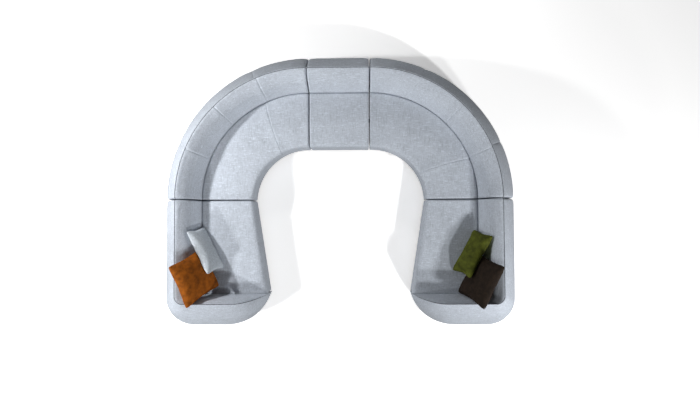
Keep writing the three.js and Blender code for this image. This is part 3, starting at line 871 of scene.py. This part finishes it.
def add_covers(body, kind, hand):
    points = skirt_lattice(kind)
    add_soft(f"{body}_skirt_cover", body, "seat_skirt", points, np.zeros(len(points)), hand)
    stretches = stretches_of(kind, hand)
    for part, (stations, place) in stretches.items():
        points = lattice(*sections[part], stations, place)
        gives = np.array([give for _, give in stations])
        add_soft(f"{body}_{part}_cover", body, part, points, gives, hand)
    add_piping(body, hand, *stretches["back_shell"])


# The panel that closes the end of a back, between the pad and the shell
end_panel_thickness = 0.012


def add_end_panels(body, kind, hand):
    length, place, _, _ = module_plans[kind]
    corners = (
        (panel_inner + clearance, runner_height), (panel_outer, runner_height), (panel_outer, panel_top),
        (welt - seam_gap, welt_top - seam_gap), (panel_inner + clearance, panel_top),
    )
    count = len(corners)
    starts = {"near": 0} if kind == "arm" else {"near": 0, "far": length - end_panel_thickness}
    for side, start in starts.items():
        ends = (start, start + end_panel_thickness)
        points = np.array([place(along, *point) for along in ends for point in corners])
        faces = [tuple(reversed(range(count))), tuple(range(count, 2 * count))]
        faces += [(i, (i + 1) % count, count + (i + 1) % count, count + i) for i in range(count)]
        if hand == "left":
            points = points * (-1, 1, 1)
            faces = [face[::-1] for face in faces]
        panel = mesh_object(f"{body}_{side}_end_panel", points, faces, finishes["blue_grey_fabric"])
        panel.data.shade_flat()
        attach(panel, body)


def add_module(body, kind, hand):
    add_covers(body, kind, hand)
    add_end_panels(body, kind, hand)


add_module("centre", "centre", "right")
for hand in ("right", "left"):
    for kind in ("curve", "arm"):
        add_module(f"{hand}_{kind}", kind, hand)


# Throw pillows: width, height and thickness, then the place of the middle as shares of the width from the
# seat's inner corner, the yaw, tilt and roll in degrees, and the material slot
pillow_sizes = {"square": (0.48, 0.48, 0.15), "lumbar": (0.50, 0.30, 0.12)}
pillow_places = {
    "right_lumbar": ((0.202, 0.882, 0.281), (-121, 59, 3), "olive_velvet"),
    "left_lumbar": ((0.172, 0.973, 0.288), (117, 69, -1), "pale_grey_fabric"),
    "right_square": ((0.079, 0.35, 0.492), (-113, 63, -5), "brown_velvet"),
    "left_square": ((0.012, 0.437, 0.533), (95, 54, 21), "orange_velvet"),
}
pillow_step = 0.012
pillow_edge = 0.008
side_pull_share = 0.07
corner_cut_share = 0.07
corner_cut_power = 5
crown_power = 0.45
pillow_counts = {}


def pillow_form(width, height, thickness):
    """Lattice of a soft pillow: two crowned sheets that meet at the edge, and full corners"""
    columns, rows = round(width / pillow_step), round(height / pillow_step)
    u, v = np.meshgrid(np.linspace(-1, 1, columns + 1), np.linspace(-1, 1, rows + 1), indexing="ij")
    from_side, from_end = 1 - u ** 2, 1 - v ** 2
    blunt = 1 - corner_cut_share * np.abs(u * v) ** corner_cut_power
    x = u * width / 2 * (1 - side_pull_share * from_end) * blunt
    y = v * height / 2 * (1 - side_pull_share * from_side) * blunt
    z = mix(pillow_edge, thickness, (from_side * from_end) ** crown_power) / 2
    return np.stack([np.stack([x, y, -z], -1), np.stack([x, y, z], -1)], 2)


def size_of(name):
    return pillow_sizes[name.split("_")[1]]


def add_pillow(name):
    slot = pillow_places[name][2]
    grid = pillow_form(*size_of(name))
    pillow_counts[name] = grid.shape
    pillow = block_object(f"{name}_cover", grid, finishes[slot], False, np.zeros(grid.shape[:3]))
    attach(pillow, f"{name}_pillow")
    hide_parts(f"{name}_pillow")
    return pillow


pillows = {name: add_pillow(name) for name in pillow_places}


# Stuffing: every cover is blown up for a few frames against what holds it, and no point moves past its cap
stuffing_pressure = 4.0
stuffing_frames = 20
stuffing_quality = 5
stuffing_mass = 0.1
cover_slack = 0.004
pillow_slack = 0.03
pillow_cap = 0.014


def points_of(mesh):
    points = np.empty(3 * len(mesh.vertices))
    mesh.vertices.foreach_get("co", points)
    return points.reshape(-1, 3)


def set_points(mesh, points):
    mesh.vertices.foreach_set("co", np.asarray(points, float).ravel())
    mesh.update()


def add_stuffing(piece, slack):
    cloth = piece.modifiers.new("stuffing", "CLOTH").settings
    cloth.quality = stuffing_quality
    cloth.mass = stuffing_mass
    cloth.use_pressure = True
    cloth.uniform_pressure_force = stuffing_pressure
    cloth.effector_weights.gravity = 0
    cloth.vertex_group_mass = "held"
    cloth.shrink_min = -slack


def stuff():
    pieces = [(piece, cap, cover_slack) for piece, cap in padded_pieces]
    pieces += [(pillow, pillow_cap, pillow_slack) for pillow in pillows.values()]
    for piece, _, slack in pieces:
        add_stuffing(piece, slack)
    for number in range(1, stuffing_frames + 1):
        scene.frame_set(number)
    graph = bpy.context.evaluated_depsgraph_get()
    swollen = [points_of(piece.evaluated_get(graph).data) for piece, _, _ in pieces]
    for (piece, cap, _), after in zip(pieces, swollen):
        before = points_of(piece.data)
        step = after - before
        free = 1 - np.array([vertex.groups[0].weight for vertex in piece.data.vertices])
        length = np.maximum(np.linalg.norm(step, axis=1), tiny)
        limit = np.maximum(cap * free, tiny)
        set_points(piece.data, before + step * (limit * np.tanh(length / limit) / length)[:, None])
        piece.modifiers.clear()
    scene.frame_set(1)


stuff()


# Each pillow is brought to its size and place, and gives way to what it rests on
rest_gap = 0.0015
rest_search = 0.3
drape_turns = 30
dent_turns = 4


def turn_of(name):
    yaw, tilt, roll = (math.radians(turn) for turn in pillow_places[name][1])
    return Matrix.Rotation(yaw, 3, "Z") @ Matrix.Rotation(tilt, 3, "X") @ Matrix.Rotation(roll, 3, "Z")


def pose_pillow(name):
    side = 1 if name.startswith("right") else -1
    centre_shares = pillow_places[name][0]
    size = np.array(size_of(name))
    points = points_of(pillows[name].data)
    low, high = points.min(0), points.max(0)
    points = (points - (low + high) / 2) * size / (high - low)
    out, along, rise = (share * size[0] for share in centre_shares)
    middle = (side * (corner.x + seat_back - out), corner.y - arm_length - clearance + along, seat_top + rise)
    set_points(pillows[name].data, points @ np.array(turn_of(name)).T + np.array(middle))


def surface_of(piece):
    mesh = piece.data
    return BVHTree.FromPolygons(
        [tuple(vertex.co) for vertex in mesh.vertices], [tuple(face.vertices) for face in mesh.polygons],
    )


def draped(rises, turns):
    """The lightest sheet that lies over the given rises"""
    sheet = rises.copy()
    for _ in range(turns):
        wide = np.pad(sheet, 1, mode="edge")
        around = (wide[:-2, 1:-1] + wide[2:, 1:-1] + wide[1:-1, :-2] + wide[1:-1, 2:]) / 4
        sheet = np.maximum(rises, around)
    return sheet


def rises_of(points, trees, way):
    """How far each point must move along a way to come out of what is there"""
    rises = np.zeros(points.shape[:-1])
    for index in np.ndindex(rises.shape):
        point = Vector(points[index])
        for tree in trees:
            place, _, _, _ = tree.ray_cast(point + way * rest_search, -way, rest_search + rest_gap)
            if place is not None:
                rises[index] = max(rises[index], (place - point).dot(way) + rest_gap)
    return rises


def rest_pillow(name, neighbours, front=None):
    """Bends a pillow over what it rests on, and dents it behind the pillow in front of it"""
    mesh = pillows[name].data
    points = points_of(mesh).reshape(pillow_counts[name])
    facing = turn_of(name) @ Vector((0, 0, 1))
    facing *= math.copysign(1, facing.z)
    rear = 0 if (points[:, :, 1] - points[:, :, 0]).mean((0, 1)) @ facing > 0 else 1
    rises = rises_of(points[:, :, rear], [surface_of(piece) for piece in neighbours], facing)
    points += draped(rises, drape_turns)[:, :, None, None] * np.array(facing)
    if front:
        away = turn_of(front) @ Vector((0, 0, 1))
        away *= -math.copysign(1, away.z)
        dents = rises_of(points, [surface_of(pillows[front])], away)
        for sheet in (0, 1):
            points[:, :, sheet] += draped(dents[:, :, sheet], dent_turns)[:, :, None] * np.array(away)
    set_points(mesh, points)


for name in pillows:
    pose_pillow(name)
for hand in ("right", "left"):
    carriers = [
        bpy.data.objects[f"{hand}_arm_{part}_cover"] for part in ("seat_cushion", "back_pad", "back_shell")
    ]
    rest_pillow(f"{hand}_lumbar", carriers)
    rest_pillow(f"{hand}_square", carriers, f"{hand}_lumbar")

for piece in [*pillows.values(), *(cover for cover, _ in padded_pieces)]:
    rounding = piece.modifiers.new("rounding", "SUBSURF")
    rounding.levels = rounding.render_levels = 1
